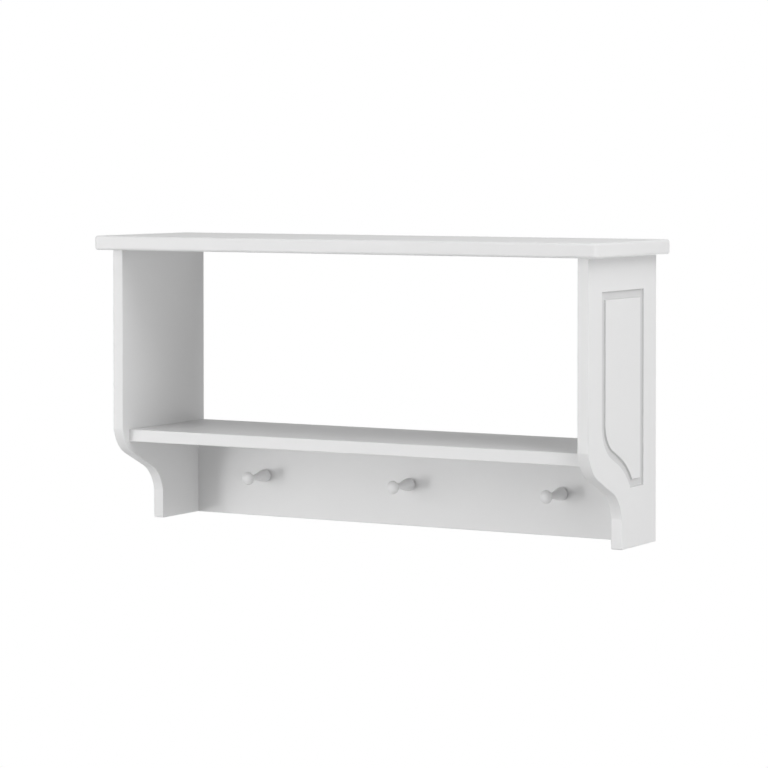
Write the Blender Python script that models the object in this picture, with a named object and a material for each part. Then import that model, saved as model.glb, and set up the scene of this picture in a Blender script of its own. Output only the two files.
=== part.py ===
"""Wall shelf with a row of turned pegs: a dowelled carcase of white lacquered boards.

Metres, +Z up, +X to the right, -Y away from the wall. The origin is the middle of the peg rail's back
face, which lies against the wall.
"""

import math

import bmesh
import bpy
from mathutils import Matrix, Vector

# Boards
SPAN = 0.820  # between the outer faces of the two side panels
BAY_HEIGHT = 0.280  # clear height between the shelf and the top board
PANEL_THICKNESS = 0.018
PANEL_DEPTH = 0.230  # from the wall to the front edge, above the ogee
LEG_DEPTH = 0.118  # from the wall to the front edge, below the ogee
TOP_THICKNESS = 0.022
TOP_SIDE_OVERHANG = 0.022
TOP_FRONT_OVERHANG = 0.020
SHELF_THICKNESS = 0.019
SHELF_DEPTH = 0.212
RAIL_THICKNESS = 0.016
RAIL_HEIGHT = 0.129
TOP_EDGE_RADIUS = 0.006  # round-over on the top board's front and ends
EASED_RADIUS = 0.0015  # eased edges of the other boards
FOOT_RADIUS = 0.003  # lower front corner of each side panel

# Ogee in the front of each side panel, heights above the panel's foot
OGEE_TOP = 0.160
OGEE_BOTTOM = 0.035
OGEE_RADIUS = 0.0567

# Routed groove on the outer face of each side panel, measured to the groove's middle
GROOVE_WIDTH = 0.012
GROOVE_DEPTH = 0.006  # half the width, as a round-nosed cutter leaves it
GROOVE_MARGIN = 0.050  # from the front profile and from the back edge
GROOVE_TOP_MARGIN = 0.056  # from the panel's upper end
GROOVE_FOOT = 0.095  # height of the lower run above the panel's foot
GROOVE_BEND_RADIUS = 0.050

# Turned pegs, sizes along the axis counted from the rail's front face
PEG_COUNT = 3
PEG_SPACING = 0.263
PEG_RISE = 0.0005  # above the rail's middle
PEG_LENGTH = 0.060
PEG_FOOT_RADIUS = 0.0100
PEG_FOOT_ROUNDING = 0.0040
PEG_FLARE_LENGTH = 0.034
PEG_NECK_RADIUS = 0.0045
PEG_HEAD_RADIUS = 0.0102
PEG_HEAD_THICKNESS = 0.0120
PEG_TENON_RADIUS = 0.0050
PEG_BORE_FLOOR = 0.004  # wood left behind the bore in the rail

# Glued dowels
DOWEL_RADIUS = 0.004
DOWEL_LENGTH = 0.030
DOWEL_CHAMFER = 0.001
DOWEL_FLOOR = 0.007  # wood left under a hole drilled into a board's face
DOWEL_INSET = 0.035  # from a joint's ends to its outer dowels
RAIL_TOP_DOWEL_INSET = 0.100  # the same along the joint of rail and shelf

# Keyhole hanger plates, let into the back edges of the side panels
HANGER_DROP = 0.040  # from the panel's upper end to the plate's middle
HANGER_LENGTH = 0.048
HANGER_WIDTH = 0.014
HANGER_THICKNESS = 0.002
HANGER_SCREW_SPACING = 0.034
KEYHOLE_ENTRY_RADIUS = 0.0045
KEYHOLE_SLOT_RADIUS = 0.0025
KEYHOLE_RISE = 0.011  # from the middle of the entry to the upper end of the slot
KEYHOLE_POCKET_DEPTH = 0.012
KEYHOLE_POCKET_ROOM = 0.001  # all round the entry, for the wall screw's head

# Countersunk screws of the hanger plates
SCREW_LENGTH = 0.016
SCREW_RADIUS = 0.0015
SCREW_HEAD_RADIUS = 0.0030
SCREW_TIP_LENGTH = 0.003
SCREW_SINK = 0.0002  # head below the plate's face

# Clearances
GLUE_LINE = 0.0003  # between boards that meet
HOLE_FIT = 0.0003  # round and behind dowels, tenons, plates and screws
CUT_OVERRUN = 0.001  # by which a cut starts outside the wood
NEAR = 0.000001  # points closer than this count as one

# Smoothness of the curves
ARC_STEPS = 12
GROOVE_STEPS = 8
ROUND_OVER_STEPS = 4
EASED_STEPS = 2
PEG_SEGMENTS = 24
DOWEL_SEGMENTS = 12

# Heights and widths that follow from the sizes above
FOOT_Z = -RAIL_HEIGHT / 2
RAIL_TOP_Z = RAIL_HEIGHT / 2
SHELF_Z = RAIL_TOP_Z + GLUE_LINE
PANEL_TOP_Z = SHELF_Z + SHELF_THICKNESS + BAY_HEIGHT
PANEL_HEIGHT = PANEL_TOP_Z - FOOT_Z
TOP_Z = PANEL_TOP_Z + GLUE_LINE
INNER_X = SPAN / 2 - PANEL_THICKNESS
PANEL_MIDDLE_X = SPAN / 2 - PANEL_THICKNESS / 2
HANGER_Z = PANEL_TOP_Z - HANGER_DROP
SIDES = (("left", -1), ("right", 1))


def clear_scene():
    for obj in list(bpy.data.objects):
        bpy.data.objects.remove(obj, do_unlink=True)


def make_finish(name, colour, roughness, metallic):
    material = bpy.data.materials.new(name)
    material.use_nodes = True
    shader = material.node_tree.nodes["Principled BSDF"]
    shader.inputs["Base Color"].default_value = (*colour, 1.0)
    shader.inputs["Roughness"].default_value = roughness
    shader.inputs["Metallic"].default_value = metallic
    return material


def mesh_of(bm, name, material=None):
    """Turns a bmesh into a mesh with its faces pointing out."""
    bmesh.ops.recalc_face_normals(bm, faces=bm.faces)
    mesh = bpy.data.meshes.new(name)
    bm.to_mesh(mesh)
    bm.free()
    mesh.shade_smooth()
    mesh.set_sharp_from_angle(angle=math.radians(30))
    if material:
        mesh.materials.append(material)
    return mesh


def add_object(name, mesh, place, parent):
    obj = bpy.data.objects.new(name, mesh)
    obj.parent = parent
    obj.matrix_world = place
    bpy.context.scene.collection.objects.link(obj)
    return obj


def cut(board, bm, name, place):
    """Takes the closed shape in bm out of a board with a Boolean."""
    cutter = add_object(f"{board.name}_{name}_cutter", mesh_of(bm, name), place, board.parent)
    cutter.hide_render = True
    cutter.display_type = "WIRE"
    modifier = board.modifiers.new(name, "BOOLEAN")
    modifier.operation = "DIFFERENCE"
    modifier.solver = "EXACT"
    modifier.object = cutter


def arc(centre, radius, start, end, steps):
    """Points along an arc, from one angle to another."""
    angles = (start + (end - start) * i / steps for i in range(steps + 1))
    return [Vector((centre[0] + radius * math.cos(t), centre[1] + radius * math.sin(t))) for t in angles]


def prism(outline, along):
    """A closed outline of 3-D points, extruded along a vector."""
    bm = bmesh.new()
    face = bm.faces.new([bm.verts.new(point) for point in outline])
    made = bmesh.ops.extrude_face_region(bm, geom=[face])
    moved = [item for item in made["geom"] if isinstance(item, bmesh.types.BMVert)]
    bmesh.ops.translate(bm, verts=moved, vec=along)
    return bm


def box(low, high):
    corners = ((low[0], low[1]), (high[0], low[1]), (high[0], high[1]), (low[0], high[1]))
    return prism([(x, y, low[2]) for x, y in corners], (0, 0, high[2] - low[2]))


def turned(profile, segments):
    """A profile of (radius, height) points that starts and ends on the Z axis, spun round it."""
    bm = bmesh.new()
    points = [bm.verts.new((radius, 0, height)) for radius, height in profile]
    edges = [bm.edges.new(pair) for pair in zip(points, points[1:])]
    middle = Vector()
    up = Vector((0, 0, 1))
    bmesh.ops.spin(bm, geom=points + edges, cent=middle, axis=up, angle=math.tau, steps=segments, use_merge=True)
    bmesh.ops.remove_doubles(bm, verts=bm.verts, dist=NEAR)
    return bm


def slot_outline(radius, lower, upper):
    """Outline of a slot with round ends, between two heights of its end centres."""
    upper_end = arc((0, upper), radius, 0, math.pi, ARC_STEPS)
    lower_end = arc((0, lower), radius, math.pi, math.tau, ARC_STEPS)
    return upper_end + lower_end


def ease_edges(bm, is_eased, radius, steps):
    """Rounds the edges whose two ends pass the test."""
    edges = [edge for edge in bm.edges if is_eased(*(vert.co for vert in edge.verts))]
    bmesh.ops.bevel(bm, geom=edges, offset=radius, segments=steps, profile=0.5, affect="EDGES")


def both(a, b, axis, value):
    """Whether two points share a coordinate's value."""
    return abs(a[axis] - value) < NEAR and abs(b[axis] - value) < NEAR


def chained(*lines):
    """Lines of points one after another, without a point that lies on the one before it."""
    points = [point for line in lines for point in line]
    return points[:1] + [here for before, here in zip(points, points[1:]) if (here - before).length > NEAR]


def ogee():
    """Centres of the two arcs in depth and height, their radius, and the straight run's slope and length."""
    step = PANEL_DEPTH - LEG_DEPTH
    drop = OGEE_TOP - OGEE_BOTTOM
    radius = min(OGEE_RADIUS, (step**2 + drop**2) / (4 * step))
    upper = Vector((PANEL_DEPTH - radius, OGEE_TOP))
    lower = Vector((LEG_DEPTH + radius, OGEE_BOTTOM))
    reach = (lower - upper).length
    slope = math.atan2(drop, 2 * radius - step) - math.acos(min(1, 2 * radius / reach))
    run = math.sqrt(max(0, reach**2 - (2 * radius) ** 2))
    return upper, lower, radius, slope, run


def panel_outline():
    """Side panel's outline in depth from the wall and height above its foot."""
    upper, lower, radius, slope, _ = ogee()
    back = [Vector((0, 0)), Vector((0, PANEL_HEIGHT)), Vector((PANEL_DEPTH, PANEL_HEIGHT))]
    swell = arc(upper, radius, 0, -slope, ARC_STEPS)
    hollow = arc(lower, radius, math.pi - slope, math.pi, ARC_STEPS)
    foot = arc((LEG_DEPTH - FOOT_RADIUS, FOOT_RADIUS), FOOT_RADIUS, 0, -math.pi / 2, ROUND_OVER_STEPS)
    return chained(back, swell, hollow, foot)


def stopped_at(points, height):
    """A descending line of points, ended where it reaches a height."""
    kept = []
    for here, there in zip(points, points[1:]):
        kept.append(here)
        if there.y < height:
            kept.append(here.lerp(there, (here.y - height) / (here.y - there.y)))
            break
    return kept


def groove_path():
    """Corners and bends of the groove's closed middle line, in depth and height."""
    upper, lower, radius, slope, run = ogee()
    turn = math.tan(slope / 2)
    inset = GROOVE_MARGIN
    front = PANEL_DEPTH - inset
    leg = LEG_DEPTH - inset
    top = PANEL_HEIGHT - GROOVE_TOP_MARGIN
    bend_z = upper.y + (inset + GROOVE_BEND_RADIUS - radius) * turn
    bend = arc((front - GROOVE_BEND_RADIUS, bend_z), GROOVE_BEND_RADIUS, 0, -slope, ARC_STEPS)
    hollow_radius = min(radius + inset, 2 * radius + run / turn - GROOVE_BEND_RADIUS)
    hollow_z = lower.y + (inset + radius - hollow_radius) * turn
    hollow = arc((leg + hollow_radius, hollow_z), hollow_radius, math.pi - slope, math.pi, ARC_STEPS)
    front_run = stopped_at(chained(bend, hollow, [Vector((leg, 0))]), GROOVE_FOOT)
    return [Vector((inset, top)), Vector((front, top))] + front_run + [Vector((inset, GROOVE_FOOT))]


def groove_section():
    """Round-bottomed section as (offset across, depth into the wood), its arc carried on past the surface."""
    half = GROOVE_WIDTH / 2
    radius = (half**2 + GROOVE_DEPTH**2) / (2 * GROOVE_DEPTH)
    spread = math.acos(1 - (GROOVE_DEPTH + CUT_OVERRUN) / radius)
    return arc((0, GROOVE_DEPTH - radius), radius, math.pi / 2 + spread, math.pi / 2 - spread, GROOVE_STEPS)


def groove_cutter(side):
    """The groove's section swept round its path, mitred where the path turns."""
    path = groove_path()
    section = groove_section()
    bm = bmesh.new()
    rings = []
    for i, point in enumerate(path):
        before = (point - path[i - 1]).normalized().orthogonal()
        after = (path[(i + 1) % len(path)] - point).normalized().orthogonal()
        mitre = (before + after) / (1 + before.dot(after))
        spots = [(point + mitre * across, depth) for across, depth in section]
        rings.append([bm.verts.new((-side * depth, -spot.x, spot.y)) for spot, depth in spots])
    for ring, following in zip(rings, rings[1:] + rings[:1]):
        for j in range(len(section)):
            k = (j + 1) % len(section)
            bm.faces.new((ring[j], ring[k], following[k], following[j]))
    return bm


def dowel_profile(gap):
    """Half section of a dowel, or with a gap of the hole that it is glued into."""
    half = DOWEL_LENGTH / 2 + gap
    radius = DOWEL_RADIUS + gap
    tip = radius - DOWEL_CHAMFER
    return [
        (0, half),
        (tip, half),
        (radius, half - DOWEL_CHAMFER),
        (radius, DOWEL_CHAMFER - half),
        (tip, -half),
        (0, -half),
    ]


def peg_profile():
    """Half section of a peg, from its tip to the end of its tenon."""
    half = PEG_HEAD_THICKNESS / 2
    head = PEG_LENGTH - half
    turn = math.asin(PEG_NECK_RADIUS / PEG_HEAD_RADIUS)
    angles = [math.pi / 2 - (math.pi - turn) * i / ARC_STEPS for i in range(1, ARC_STEPS + 1)]
    profile = [(0, PEG_LENGTH)]
    profile += [(PEG_HEAD_RADIUS * math.cos(t), head + half * math.sin(t)) for t in angles]
    foot = GLUE_LINE + PEG_FOOT_ROUNDING
    swell = PEG_FOOT_RADIUS - PEG_NECK_RADIUS
    for i in range(ARC_STEPS + 1):
        share = i / ARC_STEPS
        radius = PEG_NECK_RADIUS + swell * (1 - math.cos(math.pi * share)) / 2
        profile.append((radius, foot + PEG_FLARE_LENGTH * (1 - share)))
    rim_middle = (PEG_FOOT_RADIUS - PEG_FOOT_ROUNDING, foot)
    rim = arc(rim_middle, PEG_FOOT_ROUNDING, 0, -math.pi / 2, ROUND_OVER_STEPS)
    profile += [tuple(point) for point in rim[1:]]
    tenon_end = PEG_BORE_FLOOR + HOLE_FIT - RAIL_THICKNESS
    return profile + [(PEG_TENON_RADIUS, GLUE_LINE), (PEG_TENON_RADIUS, tenon_end), (0, tenon_end)]


def screw_profile(gap):
    """Half section of a countersunk screw whose head lies at height 0, or with a gap of its hole."""
    head = SCREW_HEAD_RADIUS + gap
    shank = SCREW_RADIUS + gap
    over = CUT_OVERRUN if gap else 0
    neck = SCREW_HEAD_RADIUS - SCREW_RADIUS
    end = SCREW_LENGTH + gap
    return [(0, over), (head, over), (head, 0), (shank, -neck), (shank, SCREW_TIP_LENGTH - end), (0, -end)]


def keyhole_outline():
    """Round entry below a narrower slot that is closed at the top, centred on the plate."""
    entry = -KEYHOLE_RISE / 2
    upper = arc((0, KEYHOLE_RISE / 2), KEYHOLE_SLOT_RADIUS, 0, math.pi, ARC_STEPS)
    mouth = math.asin(KEYHOLE_SLOT_RADIUS / KEYHOLE_ENTRY_RADIUS)
    start = math.pi / 2 + mouth
    return upper + arc((0, entry), KEYHOLE_ENTRY_RADIUS, start, start + math.tau - 2 * mouth, 2 * ARC_STEPS)


def upright_prism(outline, front, back):
    """An outline in X and Z, extruded from one depth to another."""
    return prism([(point.x, front, point.y) for point in outline], (0, back - front, 0))


def joined(shapes):
    """Several separate shapes in one bmesh, each a (bmesh, place) pair."""
    whole = bmesh.new()
    for shape, place in shapes:
        shape.transform(place)
        mesh = mesh_of(shape, "shape")
        whole.from_mesh(mesh)
        bpy.data.meshes.remove(mesh)
    return whole


def make_top_board(material, root):
    half = SPAN / 2 + TOP_SIDE_OVERHANG
    front = -PANEL_DEPTH - TOP_FRONT_OVERHANG
    bm = box((-half, front, TOP_Z), (half, 0, TOP_Z + TOP_THICKNESS))

    def shows(a, b):
        at_end = both(a, b, 0, half) or both(a, b, 0, -half)
        return (at_end or both(a, b, 1, front)) and not both(a, b, 1, 0)

    ease_edges(bm, shows, TOP_EDGE_RADIUS, ROUND_OVER_STEPS)
    return add_object("top_board", mesh_of(bm, "top_board", material), Matrix(), root)


def make_shelf_board(material, root):
    half = INNER_X - GLUE_LINE
    bm = box((-half, -SHELF_DEPTH, SHELF_Z), (half, 0, SHELF_Z + SHELF_THICKNESS))

    def is_front(a, b):
        return both(a, b, 1, -SHELF_DEPTH) and a.z == b.z

    ease_edges(bm, is_front, EASED_RADIUS, EASED_STEPS)
    return add_object("shelf_board", mesh_of(bm, "shelf_board", material), Matrix(), root)


def make_peg_rail(material, root):
    half = INNER_X - GLUE_LINE
    bm = box((-half, -RAIL_THICKNESS, FOOT_Z), (half, 0, RAIL_TOP_Z))

    def is_lower_front(a, b):
        return both(a, b, 1, -RAIL_THICKNESS) and both(a, b, 2, FOOT_Z)

    ease_edges(bm, is_lower_front, EASED_RADIUS, EASED_STEPS)
    return add_object("peg_rail", mesh_of(bm, "peg_rail", material), Matrix(), root)


def make_side_panel(name, side, material, root):
    """One side panel: its outer face lies at its own X = 0, and its foot at its own Z = 0."""
    outline = [(0, -point.x, point.y) for point in panel_outline()]
    bm = prism(outline, (-side * PANEL_THICKNESS, 0, 0))

    def shows(a, b):
        return a.x == b.x and not both(a, b, 1, 0) and not both(a, b, 2, PANEL_HEIGHT)

    ease_edges(bm, shows, EASED_RADIUS, EASED_STEPS)
    place = Matrix.Translation((side * SPAN / 2, 0, FOOT_Z))
    panel = add_object(f"{name}_side_panel", mesh_of(bm, f"{name}_side_panel", material), place, root)
    cut(panel, groove_cutter(side), "groove", place)
    return panel


def dowel_joints():
    """Every dowel as (name, its place, the two boards that it joins)."""

    def entering(point, into, depth):
        middle = Vector(point) + Vector(into) * (depth - DOWEL_LENGTH / 2)
        return Matrix.Translation(middle) @ Vector(into).to_track_quat("Z", "Y").to_matrix().to_4x4()

    def spread(count, start, end):
        return [start + (end - start) * i / (count - 1) for i in range(count)]

    joints = []
    shelf_middle_z = SHELF_Z + SHELF_THICKNESS / 2
    rail_middle_y = -RAIL_THICKNESS / 2
    for name, side in SIDES:
        panel = f"{name}_side_panel"
        outward = (side, 0, 0)
        into_panel = PANEL_THICKNESS - DOWEL_FLOOR
        for i, y in enumerate(spread(3, -DOWEL_INSET, DOWEL_INSET - PANEL_DEPTH), 1):
            place = entering((side * PANEL_MIDDLE_X, y, TOP_Z), (0, 0, 1), TOP_THICKNESS - DOWEL_FLOOR)
            joints.append((f"{name}_top_dowel_{i}", place, (panel, "top_board")))
        for i, y in enumerate(spread(3, -DOWEL_INSET, DOWEL_INSET - SHELF_DEPTH), 1):
            place = entering((side * INNER_X, y, shelf_middle_z), outward, into_panel)
            joints.append((f"{name}_shelf_dowel_{i}", place, (panel, "shelf_board")))
        for i, z in enumerate(spread(2, FOOT_Z + DOWEL_INSET, RAIL_TOP_Z - DOWEL_INSET), 1):
            place = entering((side * INNER_X, rail_middle_y, z), outward, into_panel)
            joints.append((f"{name}_rail_dowel_{i}", place, (panel, "peg_rail")))
    for i, x in enumerate(spread(3, RAIL_TOP_DOWEL_INSET - INNER_X, INNER_X - RAIL_TOP_DOWEL_INSET), 1):
        place = entering((x, rail_middle_y, SHELF_Z), (0, 0, 1), SHELF_THICKNESS - DOWEL_FLOOR)
        joints.append((f"shelf_rail_dowel_{i}", place, ("peg_rail", "shelf_board")))
    return joints


def add_dowels(boards, material, root):
    mesh = mesh_of(turned(dowel_profile(0), DOWEL_SEGMENTS), "dowel", material)
    holes = {name: [] for name in boards}
    for name, place, joined_boards in dowel_joints():
        add_object(name, mesh, place, root)
        for board in joined_boards:
            holes[board].append((turned(dowel_profile(HOLE_FIT), DOWEL_SEGMENTS), place))
    for name, shapes in holes.items():
        cut(boards[name], joined(shapes), "dowel_holes", Matrix())


def peg_names():
    words = {1: ["peg"], 2: ["left_peg", "right_peg"], 3: ["left_peg", "middle_peg", "right_peg"]}
    return words.get(PEG_COUNT, [f"peg_{i}" for i in range(1, PEG_COUNT + 1)])


def add_pegs(rail, material, root):
    """Pegs stand out of the rail's front, each on a tenon glued into a blind bore."""
    mesh = mesh_of(turned(peg_profile(), PEG_SEGMENTS), "peg", material)
    outward = Matrix.Rotation(math.pi / 2, 4, "X")
    bore_radius = PEG_TENON_RADIUS + HOLE_FIT
    bore_end = PEG_BORE_FLOOR - RAIL_THICKNESS
    bore = [(0, CUT_OVERRUN), (bore_radius, CUT_OVERRUN), (bore_radius, bore_end), (0, bore_end)]
    bores = []
    for i, name in enumerate(peg_names()):
        x = (i - (PEG_COUNT - 1) / 2) * PEG_SPACING
        place = Matrix.Translation((x, -RAIL_THICKNESS, PEG_RISE)) @ outward
        add_object(name, mesh, place, root)
        bores.append((turned(bore, PEG_SEGMENTS), place))
    cut(rail, joined(bores), "peg_bores", Matrix())


def screw_places():
    """Upper and lower screw of a hanger plate, with the head's face just below the plate's."""
    into_wood = Matrix.Rotation(-math.pi / 2, 4, "X")
    return [
        (word, Matrix.Translation((0, -SCREW_SINK, way * HANGER_SCREW_SPACING / 2)) @ into_wood)
        for word, way in (("upper", 1), ("lower", -1))
    ]


def screw_holes():
    return joined([(turned(screw_profile(HOLE_FIT), DOWEL_SEGMENTS), place) for _, place in screw_places()])


def add_hanger(name, panel, side, plate_material, screw_material, root):
    """A keyhole plate flush with the panel's back edge, its pocket for the wall screw, and its two screws."""
    place = Matrix.Translation((side * PANEL_MIDDLE_X, 0, HANGER_Z))
    end = (HANGER_LENGTH - HANGER_WIDTH) / 2
    plate_outline = slot_outline(HANGER_WIDTH / 2, -end, end)
    plate_name = f"{name}_hanger_plate"
    plate_mesh = mesh_of(upright_prism(plate_outline, -HANGER_THICKNESS, 0), plate_name, plate_material)
    plate = add_object(plate_name, plate_mesh, place, root)
    keyhole = upright_prism(keyhole_outline(), -HANGER_THICKNESS - CUT_OVERRUN, CUT_OVERRUN)
    cut(plate, keyhole, "keyhole", place)
    cut(plate, screw_holes(), "screw_holes", place)

    mortise = slot_outline(HANGER_WIDTH / 2 + HOLE_FIT, -end, end)
    cut(panel, upright_prism(mortise, -HANGER_THICKNESS - HOLE_FIT, CUT_OVERRUN), "hanger_mortise", place)
    room = KEYHOLE_ENTRY_RADIUS + KEYHOLE_POCKET_ROOM
    pocket = slot_outline(room, -KEYHOLE_RISE / 2, KEYHOLE_RISE / 2)
    cut(panel, upright_prism(pocket, -KEYHOLE_POCKET_DEPTH, CUT_OVERRUN), "keyhole_pocket", place)
    cut(panel, screw_holes(), "screw_holes", place)

    screw_mesh = mesh_of(turned(screw_profile(0), DOWEL_SEGMENTS), f"{name}_hanger_screw", screw_material)
    for word, spot in screw_places():
        add_object(f"{name}_hanger_{word}_screw", screw_mesh, place @ spot, root)


def main():
    clear_scene()
    root = bpy.data.objects.new("wall_shelf", None)
    bpy.context.scene.collection.objects.link(root)
    lacquer = make_finish("white_lacquer", (0.745, 0.745, 0.745), 0.38, 0.0)
    peg_lacquer = make_finish("peg_lacquer", (0.735, 0.735, 0.735), 0.34, 0.0)
    beech = make_finish("beech_dowel", (0.62, 0.43, 0.26), 0.65, 0.0)
    plate_zinc = make_finish("zinc_plate", (0.62, 0.63, 0.64), 0.35, 1.0)
    screw_zinc = make_finish("zinc_screw", (0.66, 0.66, 0.65), 0.30, 1.0)

    boards = [make_top_board(lacquer, root), make_shelf_board(lacquer, root), make_peg_rail(lacquer, root)]
    boards += [make_side_panel(name, side, lacquer, root) for name, side in SIDES]
    boards = {board.name: board for board in boards}
    add_dowels(boards, beech, root)
    add_pegs(boards["peg_rail"], peg_lacquer, root)
    for name, side in SIDES:
        add_hanger(name, boards[f"{name}_side_panel"], side, plate_zinc, screw_zinc, root)


main()
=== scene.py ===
# %% [markdown]
# # A white wall shelf with turned pegs
#
# The shelf is a small case of lacquered boards that hangs flat on a wall: a rounded top, two ogee sides,
# a lower shelf, and a rail with pegs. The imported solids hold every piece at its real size. They are the
# frame of this lesson: each piece that shows is made again as a finer mesh in the same place, and every
# surface gets a finish made of nodes.

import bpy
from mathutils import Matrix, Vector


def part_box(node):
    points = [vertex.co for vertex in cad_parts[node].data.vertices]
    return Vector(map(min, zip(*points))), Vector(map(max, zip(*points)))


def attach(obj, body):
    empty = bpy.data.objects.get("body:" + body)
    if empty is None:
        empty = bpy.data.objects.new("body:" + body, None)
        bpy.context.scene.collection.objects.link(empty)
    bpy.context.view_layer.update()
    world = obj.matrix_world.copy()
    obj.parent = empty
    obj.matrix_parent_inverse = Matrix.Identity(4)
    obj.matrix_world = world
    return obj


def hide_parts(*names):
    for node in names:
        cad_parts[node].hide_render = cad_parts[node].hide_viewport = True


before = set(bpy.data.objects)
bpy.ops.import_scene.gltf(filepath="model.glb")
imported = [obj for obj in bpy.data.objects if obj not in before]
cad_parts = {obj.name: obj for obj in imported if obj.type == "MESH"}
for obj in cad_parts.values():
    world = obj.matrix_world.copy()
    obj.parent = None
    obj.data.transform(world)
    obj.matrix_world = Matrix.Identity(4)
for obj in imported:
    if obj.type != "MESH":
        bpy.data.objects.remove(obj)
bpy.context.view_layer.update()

# %% Modules
import math

import bmesh
import bpy
from mathutils import Matrix, Vector

print("Blender", bpy.app.version_string)

# %% [markdown]
# ## Wires
#
# A finish is a tree of nodes. Writing one link after another hides the sum that the tree works out, so a
# small class wraps an output socket: Python's operators then add Math nodes, and one method adds any
# other node. The same class serves the Geometry Nodes further down, because both kinds of tree are built
# alike.

# %% One class for shader and geometry trees
class Wire:
    """A node's output socket; adding, subtracting or multiplying wires adds Math nodes to their tree."""

    def __init__(self, tree, socket=None):
        self.tree = tree
        self.socket = socket

    def add(self, kind, sockets, settings=None, output=0):
        """Adds a node: its settings first, then a plain value or a wire on each socket that is named."""
        node = self.tree.nodes.new(kind)
        for name, value in (settings or {}).items():
            setattr(node, name, value)
        for name, value in sockets.items():
            if isinstance(value, Wire):
                self.tree.links.new(value.socket, node.inputs[name])
            else:
                node.inputs[name].default_value = value
        return Wire(self.tree, node.outputs[output])

    def maths(self, operation, *values):
        """Adds a Math node that works on wires or plain numbers."""
        return self.add("ShaderNodeMath", dict(enumerate(values)), {"operation": operation})

    def __add__(self, other):
        return self.maths("ADD", self, other)

    def __sub__(self, other):
        return self.maths("SUBTRACT", self, other)

    def __mul__(self, other):
        return self.maths("MULTIPLY", self, other)

    __radd__ = __add__
    __rmul__ = __mul__


# %% Pieces of shader that every finish uses
FACTOR, COLOUR_A, COLOUR_B = 0, 6, 7  # sockets of a Mix node that mixes colours
MIXED_COLOUR = 2  # and its output


def new_finish(name):
    """A new material, its Principled node, and a wire with the object's own coordinates."""
    material = bpy.data.materials.new(name)
    material.use_nodes = True
    tree = material.node_tree
    place = Wire(tree).add("ShaderNodeTexCoord", {}, output="Object")
    return material, tree.nodes["Principled BSDF"], place


def noise(place, per_metre, detail=2.0, roughness=0.5):
    """Soft noise between 0 and 1, with about so many blobs to the metre."""
    sockets = {"Vector": place, "Scale": per_metre, "Detail": detail, "Roughness": roughness}
    return place.add("ShaderNodeTexNoise", sockets, output="Fac")


def drifting(value, drift, soft):
    """A value that a noise carries up and down, by half the drift each way."""
    return value + drift * (soft - 0.5)


def mixed(share, first, second):
    """A colour between two others."""
    settings = {"data_type": "RGBA"}
    sockets = {FACTOR: share, COLOUR_A: (*first, 1.0), COLOUR_B: (*second, 1.0)}
    return share.add("ShaderNodeMix", sockets, settings, output=MIXED_COLOUR)


def bumped(height, depth):
    """A normal that follows a height between 0 and 1, scaled to a real depth in metres."""
    sockets = {"Height": height, "Strength": 1.0, "Distance": depth}
    return height.add("ShaderNodeBump", sockets, output="Normal")


def connect(wire, shader, socket):
    wire.tree.links.new(wire.socket, shader.inputs[socket])


print("wires and noises ready")

# %% [markdown]
# ## White lacquer
#
# The boards are sprayed white, satin, with no grain. Up close, sprayed lacquer is never quite even: it
# clouds by a shade over a hand's width, its sheen drifts, and its skin has the fine ripple that painters
# call orange peel. A painted texture would need every board unwrapped. A noise in the object's own space
# needs none of that and runs on over the edges, so there are three, of different size and far too faint
# to show as a pattern from a step away. In the routed groove the lacquer is painted greyer than the faces,
# as painted shade for the groove's hollow; its higher roughness is the duller, open-fibred routed surface.

# %% Lacquer on the boards
LACQUER = (0.745, 0.745, 0.745)
LACQUER_SHADE = (0.730, 0.730, 0.732)
LACQUER_ROUGHNESS = 0.52
# The groove's two colours are painted shade: darker than the faces, standing for the shade in its hollow.
GROOVE_PAINTED_SHADE = (0.640, 0.640, 0.640)
GROOVE_PAINTED_SHADE_MOTTLE = (0.615, 0.615, 0.617)
ROUTED_ROUGHNESS = 0.65
SHEEN_DRIFT = 0.08
CLOUDS_PER_METRE = 9.0
DRIFTS_PER_METRE = 45.0
PEEL_PER_METRE = 420.0
PEEL_DEPTH = 0.000012


def board_lacquer(name, colour, shade, roughness):
    material, shader, place = new_finish(name)
    clouds = noise(place, CLOUDS_PER_METRE, detail=3.0)
    peel = noise(place, PEEL_PER_METRE, detail=1.0)
    connect(mixed(clouds, colour, shade), shader, "Base Color")
    connect(drifting(roughness, SHEEN_DRIFT, noise(place, DRIFTS_PER_METRE)), shader, "Roughness")
    connect(bumped(peel, PEEL_DEPTH), shader, "Normal")
    return material


white = board_lacquer("board_lacquer", LACQUER, LACQUER_SHADE, LACQUER_ROUGHNESS)
# The groove's lacquer: painted shade in its colour, a duller sheen in its roughness.
groove_white_painted_shade = board_lacquer("groove_lacquer_painted_shade", GROOVE_PAINTED_SHADE, GROOVE_PAINTED_SHADE_MOTTLE, ROUTED_ROUGHNESS)
print("finish:", white.name, groove_white_painted_shade.name)

# %% [markdown]
# ## Lacquer on turned wood
#
# The pegs are turned on a lathe and then sprayed. Under the lacquer the tool has left faint rings round
# the axis, which runs along Y. To model them would take thousands of faces for a hundredth of a
# millimetre. A sine of the distance along the axis draws them in the bump instead, and a noise makes some
# rings deeper than others.

# %% Lacquer on the pegs
PEG_LACQUER = (0.735, 0.735, 0.735)
PEG_LACQUER_SHADE = (0.715, 0.715, 0.717)
PEG_ROUGHNESS = 0.42
PEG_CLOUDS_PER_METRE = 60.0
PEG_DRIFTS_PER_METRE = 120.0
TOOL_RINGS_PER_METRE = 900.0
TOOL_RING_DEPTH = 0.000010


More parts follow.
